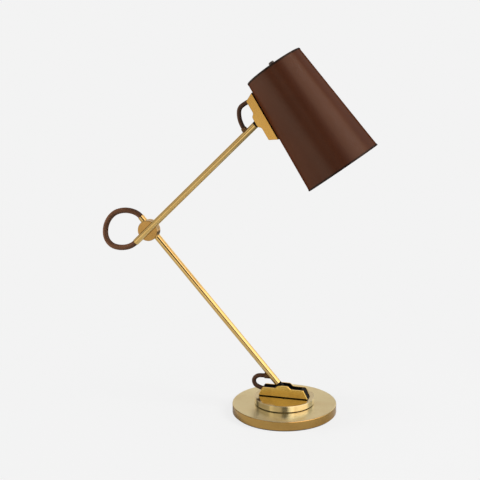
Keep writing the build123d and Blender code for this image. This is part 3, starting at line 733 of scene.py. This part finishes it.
@dataclass
class StepBracket:
    """Stepped bracket: black clevis between two brass cheeks."""

    end: str
    along: Vector
    # Cheek colour per bracket: painted light and shade, as the base's cheeks get a brighter and the
    # head's a darker copy of one brass.
    colour: Colour
    steel: tuple[str, ...] = ("pivot_pin", "cheek_dowels", "clevis_screws")

    def build(self) -> None:
        """Dress the bracket's nodes, the cheeks with streaks along them."""
        cheek = Brass(f"{self.end}_cheek_brass", colour=self.colour, tarnish=(0.54, 0.30, 0.06),
                      roughness=0.22, spread=0.08, brush=Brush.DRAWN, direction=self.along)
        dress(f"{self.end}_clevis", BLACK_STEEL)
        dress(f"{self.end}_cheek_front", cheek)
        dress(f"{self.end}_cheek_rear", cheek)
        dress(f"{self.end}_pivot_washers", NYLON)
        for node in self.steel:
            dress(f"{self.end}_{node}", BRIGHT_STEEL)


@dataclass
class Arm:
    """Brass tube with a black eye at its pin and a bush for the lead."""

    name: str
    start: Vector
    end: Vector

    def build(self) -> None:
        """Dress the arm's nodes, the tube with streaks along it."""
        drawn = Brass(f"{self.name}_tube_brass", colour=(0.83, 0.61, 0.255), tarnish=(0.66, 0.43, 0.14),
                      roughness=0.12, spread=0.04, brush=Brush.DRAWN, mark_depth=0.000001,
                      direction=direction_between(self.start, self.end))
        dress(f"{self.name}_arm_tube", drawn)
        dress(f"{self.name}_arm_eye", BLACK_STEEL)
        dress(f"{self.name}_cord_bush", DARK_BRONZE)


@dataclass
class Elbow:
    """Two brass discs, a friction washer and the rivet through them."""

    def build(self) -> None:
        """Dress the elbow's nodes."""
        for node in ("elbow_rear_disc", "elbow_front_disc"):
            dress(node, DISC_BRASS)
        dress("elbow_friction_washer", NYLON)
        dress("elbow_rivet", BRIGHT_STEEL)


@dataclass
class Shade:
    """Leather cone over an enamelled shell, with bound edges and a vented cap."""

    axis: Vector
    centre: Vector

    def build(self) -> None:
        """Dress the shade's nodes."""
        dress("shade_leather", ShadeLeather("shade_leather", axis=self.axis, centre=self.centre))
        dress("shade_shell", ENAMEL)
        dress("shade_top_trim", BINDING_LEATHER)
        dress("shade_bottom_trim", BINDING_LEATHER)
        dress("shade_top_cap", BLACK_STEEL)
        dress("head_backing_plate", BRIGHT_STEEL)
        dress("head_clevis_nuts", BRIGHT_STEEL)


@dataclass
class Lampholder:
    """Phenolic lampholder, opal bulb and turn switch."""

    def build(self) -> None:
        """Dress the lampholder, the bulb and the switch."""
        for node in ("lampholder_cap", "lampholder_body", "switch_knob"):
            dress(node, PHENOLIC)
        for node in ("lampholder_nipple", "lampholder_nut", "switch_shaft"):
            dress(node, BRIGHT_STEEL)
        for node in ("lampholder_contact", "bulb_cap"):
            dress(node, FITTING_BRASS)
        dress("bulb_glass", OPAL)


@dataclass
class CordLoop:
    """A loop of the leather-sleeved lead between two bodies that turn against each other."""

    name: str
    node: str
    bodies: tuple[str, str]
    route: Sequence[tuple[float, float, float]]
    diameter: float
    turn_start: tuple[float, float, float]
    turn_end: tuple[float, float, float]
    finish: SleeveLeather = NARROW_SLEEVE_LEATHER
    sides: int = 28
    line_steps: int = 16
    line_order: int = 3

    def centreline(self) -> list[Vector]:
        """Points along the smooth curve that the route's points control.

        Returns:
            The points, from the exit to the far end.
        """
        curve = bpy.data.curves.new(f"{self.name}_line", "CURVE")
        curve.dimensions = "3D"
        curve.resolution_u = self.line_steps
        spline = curve.splines.new("NURBS")
        spline.points.add(len(self.route) - 1)
        for point, place in zip(spline.points, self.route):
            point.co = (*place, 1.0)
        spline.order_u = self.line_order
        spline.use_endpoint_u = True
        holder = bpy.data.objects.new(f"{self.name}_line", curve)
        bpy.context.scene.collection.objects.link(holder)
        bpy.context.view_layer.update()
        traced = bpy.data.meshes.new_from_object(holder)
        points = [vertex.co.copy() for vertex in traced.vertices]
        bpy.data.objects.remove(holder)
        bpy.data.curves.remove(curve)
        bpy.data.meshes.remove(traced)
        return points

    def tube(self, line: list[Vector]) -> bpy.types.Object:
        """Closed round tube along a line, with the way round and along it kept as a map.

        Args:
            line: points along the middle of the tube.

        Returns:
            The tube.
        """
        mesh = bmesh.new()
        chart = mesh.loops.layers.uv.new("sleeve")
        tangents = [direction_between(line[max(i - 1, 0)], line[min(i + 1, len(line) - 1)])
                    for i in range(len(line))]
        side = tangents[0].cross(ACROSS).normalized()
        rings, walked, distance = [], [], 0.0
        for i, (point, tangent) in enumerate(zip(line, tangents)):
            distance += (point - line[i - 1]).length if i else 0.0
            side = (side - tangent * side.dot(tangent)).normalized()
            other = tangent.cross(side)
            ring = []
            for k in range(self.sides):
                angle = 2 * math.pi * k / self.sides
                offset = side * math.cos(angle) + other * math.sin(angle)
                ring.append(mesh.verts.new(point + offset * self.diameter / 2))
            rings.append(ring)
            walked.append(distance)
        for i in range(len(rings) - 1):
            for k in range(self.sides):
                beside = (k + 1) % self.sides
                corners = rings[i][k], rings[i][beside], rings[i + 1][beside], rings[i + 1][k]
                face = mesh.faces.new(corners)
                face.smooth = True
                shares = ((k, i), (k + 1, i), (k + 1, i + 1), (k, i + 1))
                for loop, (turn, row) in zip(face.loops, shares):
                    loop[chart].uv = (turn / self.sides, walked[row])
        mesh.faces.new(rings[0])
        mesh.faces.new(list(reversed(rings[-1])))
        bmesh.ops.recalc_face_normals(mesh, faces=mesh.faces)
        data = bpy.data.meshes.new(self.name)
        mesh.to_mesh(data)
        mesh.free()
        piece = bpy.data.objects.new(self.name, data)
        bpy.context.scene.collection.objects.link(piece)
        return piece

    def build(self) -> None:
        """Make the loop, dress it, and hide the CAD node that it stands in for."""
        line = self.centreline()
        piece = self.tube(line)
        piece.data.materials.append(self.finish.material())
        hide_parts(self.node)
        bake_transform(piece)


@dataclass(frozen=True)
class LightPanel:
    """A bright panel of the studio, as polished metal sees it; angles in degrees from the camera."""

    turn: float
    half_width: float
    low: float
    high: float
    strength: float
    feather: float = 6.0
    tint: Colour = (1.0, 1.0, 1.0)


@dataclass(frozen=True)
class Lamp:
    """A soft studio lamp."""

    name: str
    place: tuple[float, float, float]
    size: tuple[float, float]
    watts: float


@dataclass
class Studio:
    """Camera, pale floor, soft lamps and the surroundings that the brass mirrors."""

    eye: Vector = field(default_factory=lambda: Vector((0.37669, -1.43877, 0.59802)))
    right: Vector = field(default_factory=lambda: Vector((0.95674, 0.29074, -0.01057)))
    up: Vector = field(default_factory=lambda: Vector((-0.0553, 0.21739, 0.97452)))
    focal_share: float = 1090.14 / 480.0
    sensor_width: float = 36.0
    view_depths: tuple[float, float] = (0.05, 60.0)
    target: Vector = field(default_factory=lambda: Vector((-0.06, 0.0, 0.25)))
    paper: Colour = (0.896, 0.896, 0.896)
    room: float = 0.11
    ambient: float = 0.12
    floor_colour: Colour = (0.5, 0.5, 0.5)
    floor_glow: Colour = (0.96, 0.96, 0.96)
    floor_radius: float = 9.0
    floor_segments: int = 96
    shadow_ends: tuple[float, float] = (0.05, 0.5)
    shadow_hold: float = 0.82
    near_floor: Colour = (0.60, 0.54, 0.44)
    flagged_floor: Colour = (0.20, 0.185, 0.16)
    far_floor: Colour = (1.25, 1.07, 0.83)
    flag_inner: float = 0.16
    flag_outer: float = 1.1
    flag_edge: float = 0.15
    flag_blur: float = 0.2
    panels: tuple[LightPanel, ...] = (
        LightPanel(turn=72.0, half_width=30.0, low=-20.0, high=27.0, strength=1.25, feather=3.0),
        LightPanel(turn=61.0, half_width=39.0, low=26.0, high=62.0, strength=1.95,
                   tint=(1.0, 0.74, 0.54)),
        LightPanel(turn=8.0, half_width=28.0, low=32.0, high=60.0, strength=0.2),
        LightPanel(turn=26.0, half_width=13.0, low=-35.0, high=26.0, strength=1.75, feather=3.0),
        LightPanel(turn=128.0, half_width=26.0, low=-20.0, high=40.0, strength=0.6),
        LightPanel(turn=-36.0, half_width=24.0, low=12.0, high=30.0, strength=0.75, feather=3.0,
                   tint=WARM_TINT),
        LightPanel(turn=-84.0, half_width=36.0, low=-35.0, high=45.0, strength=0.4, tint=WARM_TINT),
        LightPanel(turn=180.0, half_width=40.0, low=0.0, high=36.0, strength=0.84, tint=WARM_TINT),
    )
    overhead: float = 0.5
    overhead_ends: tuple[float, float] = (48.0, 66.0)
    lamps: tuple[Lamp, ...] = (
        Lamp("key", (1.65, -0.25, 1.45), (0.7, 1.2), 48.0),
        Lamp("fill", (-1.9, -0.8, 0.5), (1.2, 0.9), 52.0),
        Lamp("top", (0.0, -0.1, 2.0), (1.4, 1.4), 6.0),
        Lamp("back", (-0.7, 1.9, 1.0), (1.4, 1.0), 12.0),
    )

    def camera(self) -> None:
        """Set the camera at the photograph's viewpoint."""
        data = bpy.data.cameras.new("camera")
        data.sensor_width = self.sensor_width
        data.lens = self.sensor_width * self.focal_share
        data.clip_start, data.clip_end = self.view_depths
        camera = bpy.data.objects.new("camera", data)
        back = self.right.cross(self.up)
        turn = Matrix((self.right, self.up, back)).transposed().to_4x4()
        camera.matrix_world = Matrix.Translation(self.eye) @ turn
        bpy.context.scene.collection.objects.link(camera)
        bpy.context.scene.camera = camera

    def panel_mask(self, panel: LightPanel, turn: Callable[[float], Signal], rise: Signal) -> Signal:
        """How much of a panel a direction meets.

        Args:
            panel: the panel.
            turn: gives a direction's turn in degrees from a bearing.
            rise: the direction's height in degrees.

        Returns:
            The mask from 0 to 1.
        """
        edge = panel.half_width
        sideways = turn(panel.turn).size().ease(edge + panel.feather, edge - panel.feather)
        above = rise.ease(panel.low - panel.feather, panel.low + panel.feather)
        below = rise.ease(panel.high + panel.feather, panel.high - panel.feather)
        return sideways * above * below

    def world(self) -> None:
        """Write the surroundings: white for the camera, panels for gloss, an even light for the rest."""
        world = bpy.data.worlds.new("studio")
        bpy.context.scene.world = world
        world.use_nodes = True
        shader = Shader(world.node_tree)
        way = shader.node("ShaderNodeTexCoord").out("Generated")
        rise = way.maths("ARCSINE", way.dot(UP)) * math.degrees(1.0)
        bearing = math.atan2(self.eye.x - self.target.x, -(self.eye.y - self.target.y))

        def turn(offset: float) -> Signal:
            """Degrees between a direction and a bearing.

            Args:
                offset: the bearing's degrees to the camera's right.

            Returns:
                The degrees.
            """
            angle = bearing + math.radians(offset)
            ahead = Vector((math.sin(angle), -math.cos(angle), 0.0))
            beside = Vector((math.cos(angle), math.sin(angle), 0.0))
            return way.maths("ARCTAN2", way.dot(beside), way.dot(ahead)) * math.degrees(1.0)

        level = rise.ease(*self.overhead_ends) * self.overhead + self.room
        studio = shader.grey(level)
        for panel in self.panels:
            glow = shader.scaled(panel.tint, self.panel_mask(panel, turn, rise) * panel.strength)
            studio = studio.vector("ADD", studio, glow)
        path = shader.node("ShaderNodeLightPath")
        clear = path.out("Is Transmission Ray").larger(path.out("Is Camera Ray"))
        seen = shader.blend(path.out("Is Glossy Ray"), (self.ambient,) * 3, studio)
        seen = shader.blend(clear, seen, self.paper)
        background = shader.node("ShaderNodeBackground", None, {"Color": seen})
        output = shader.node("ShaderNodeOutputWorld")
        shader.tree.links.new(background.node.outputs["Background"], output.node.inputs["Surface"])

    def floor(self) -> None:
        """Lay a pale floor that runs into the background and keeps the lamp's soft shadow."""
        mesh = bmesh.new()
        bmesh.ops.create_circle(mesh, cap_ends=True, segments=self.floor_segments,
                                radius=self.floor_radius)
        data = bpy.data.meshes.new("floor")
        mesh.to_mesh(data)
        mesh.free()
        floor = bpy.data.objects.new("floor", data)
        bpy.context.scene.collection.objects.link(floor)
        material = bpy.data.materials.new("floor_paper")
        material.use_nodes = True
        shader = Shader(material.node_tree)
        place = shader.place()
        radius = place.vector("LENGTH", place, result="Value")
        paper = shader.node("ShaderNodeBsdfDiffuse", None, {"Color": self.floor_colour})
        away = radius.ease(*self.shadow_ends)
        path = shader.node("ShaderNodeLightPath")
        mirrored = path.out("Is Glossy Ray").larger(path.out("Is Transmission Ray"))
        direct = path.out("Is Camera Ray") * (self.shadow_hold + (1.0 - self.shadow_hold) * away)
        near, far = 1.0 - self.flag_blur, 1.0 + self.flag_blur
        share = direct.larger(mirrored * radius.ease(self.flag_inner * near, self.flag_inner * far))
        flag = place.dot(self.right).ease(-self.flag_edge, self.flag_edge)
        reflected = shader.blend(radius.ease(self.flag_outer * near, self.flag_outer * far),
                                 shader.blend(flag, self.near_floor, self.flagged_floor), self.far_floor)
        colour = shader.blend(mirrored, shader.blend(away, self.floor_glow, self.paper), reflected)
        glow = shader.node("ShaderNodeEmission", None, {"Color": colour})
        lit = shader.node("ShaderNodeMixShader", None,
                          {0: share, 1: paper.out("BSDF"), 2: glow.out("Emission")})
        beneath = shader.node("ShaderNodeNewGeometry").out("Backfacing") * path.out("Is Camera Ray")
        clear = shader.node("ShaderNodeBsdfTransparent").out("BSDF")
        both = shader.node("ShaderNodeMixShader", None, {0: beneath, 1: lit.out("Shader"), 2: clear})
        shader.node("ShaderNodeOutputMaterial", None, {"Surface": both.out("Shader")})
        data.materials.append(material)

    def light(self) -> None:
        """Hang the soft lamps; the panels of the surroundings stand for them in the brass."""
        for lamp in self.lamps:
            data = bpy.data.lights.new(lamp.name, "AREA")
            data.shape = "RECTANGLE"
            data.size, data.size_y = lamp.size
            data.energy = lamp.watts
            holder = bpy.data.objects.new(lamp.name, data)
            holder.location = lamp.place
            look = direction_between(Vector(lamp.place), self.target)
            holder.rotation_mode = "QUATERNION"
            holder.rotation_quaternion = look.to_track_quat("-Z", "Y")
            holder.visible_glossy = False
            bpy.context.scene.collection.objects.link(holder)

    def build(self) -> None:
        """Set up everything round the lamp."""
        self.camera()
        self.world()
        self.floor()
        self.light()
        bpy.context.scene.view_settings.view_transform = "Standard"


BASE_LOOP = CordLoop(
    "base_lead", "base_cord_loop", ("turntable", "lower_arm"),
    ((-0.02338, 0.0, 0.05299), (-0.03308, 0.0, 0.05281), (-0.0403, 0.0, 0.0520), (-0.0459, 0.0, 0.0460),
     (-0.0443, 0.0, 0.0380), (-0.0372, 0.0, 0.0344), (-0.0296, 0.0, 0.0326)),
    0.0062, (-0.02383, 0.0, 0.01771), (-0.00509, 0.0, 0.02942))
ELBOW_LOOP = CordLoop(
    "elbow_lead", "elbow_cord_loop", ("lower_arm", "upper_arm"),
    ((-0.2143, 0.0, 0.27826), (-0.21923, 0.0, 0.28391), (-0.23718, -0.00222, 0.28823),
     (-0.25518, -0.00459, 0.28333), (-0.26648, -0.00725, 0.26753), (-0.26768, -0.00962, 0.24823),
     (-0.25768, -0.01199, 0.23573), (-0.24118, -0.01391, 0.23323), (-0.22368, -0.0148, 0.23735),
     (-0.2172, -0.0148, 0.24359)),
    0.008, (-0.18792, 0.0, 0.28624), (-0.21594, 0.0, 0.22330), SLEEVE_LEATHER)
HEAD_LOOP = CordLoop(
    "head_lead", "head_cord_loop", ("upper_arm", "head"),
    ((-0.05143, -0.0148, 0.41061), (-0.0567, -0.0148, 0.41875), (-0.05965, -0.0148, 0.43055),
     (-0.05865, -0.0148, 0.44065), (-0.05105, -0.0148, 0.44665), (-0.04115, -0.0148, 0.45185)),
    0.0062, (-0.0560, -0.0148, 0.4035), (-0.0410, -0.0148, 0.4590))


def main() -> None:
    """Build every sub-assembly in order, then the studio."""
    logging.basicConfig(level=logging.INFO, format="%(name)s: %(message)s")
    base_pin, elbow, head_pin = (packed_vector(name, "pos_m")
                                 for name in ("lower_arm_tilt", "elbow_bend", "head_tilt"))
    shade_axis = packed_vector("switch_turn", "axis")
    assemblies = (
        Base(),
        # The two brackets' cheek colours differ only as painted light and shade.
        StepBracket("base", Vector((1.0, 0.0, 0.0)), (0.97, 0.655, 0.155)),
        Arm("lower", Vector((base_pin.x, 0.0, base_pin.z)), Vector((elbow.x, 0.0, elbow.z))),
        Elbow(),
        Arm("upper", Vector((elbow.x, 0.0, elbow.z)), Vector((head_pin.x, 0.0, head_pin.z))),
        StepBracket("head", shade_axis, (0.55, 0.354, 0.097)),
        Shade(shade_axis, packed_vector("switch_turn", "pos_m")),
        Lampholder(),
        BASE_LOOP,
        ELBOW_LOOP,
        HEAD_LOOP,
        Studio(),
    )
    for assembly in assemblies:
        assembly.build()
        LOG.info("built %s", type(assembly).__name__)


if __name__ == "__main__":
    main()
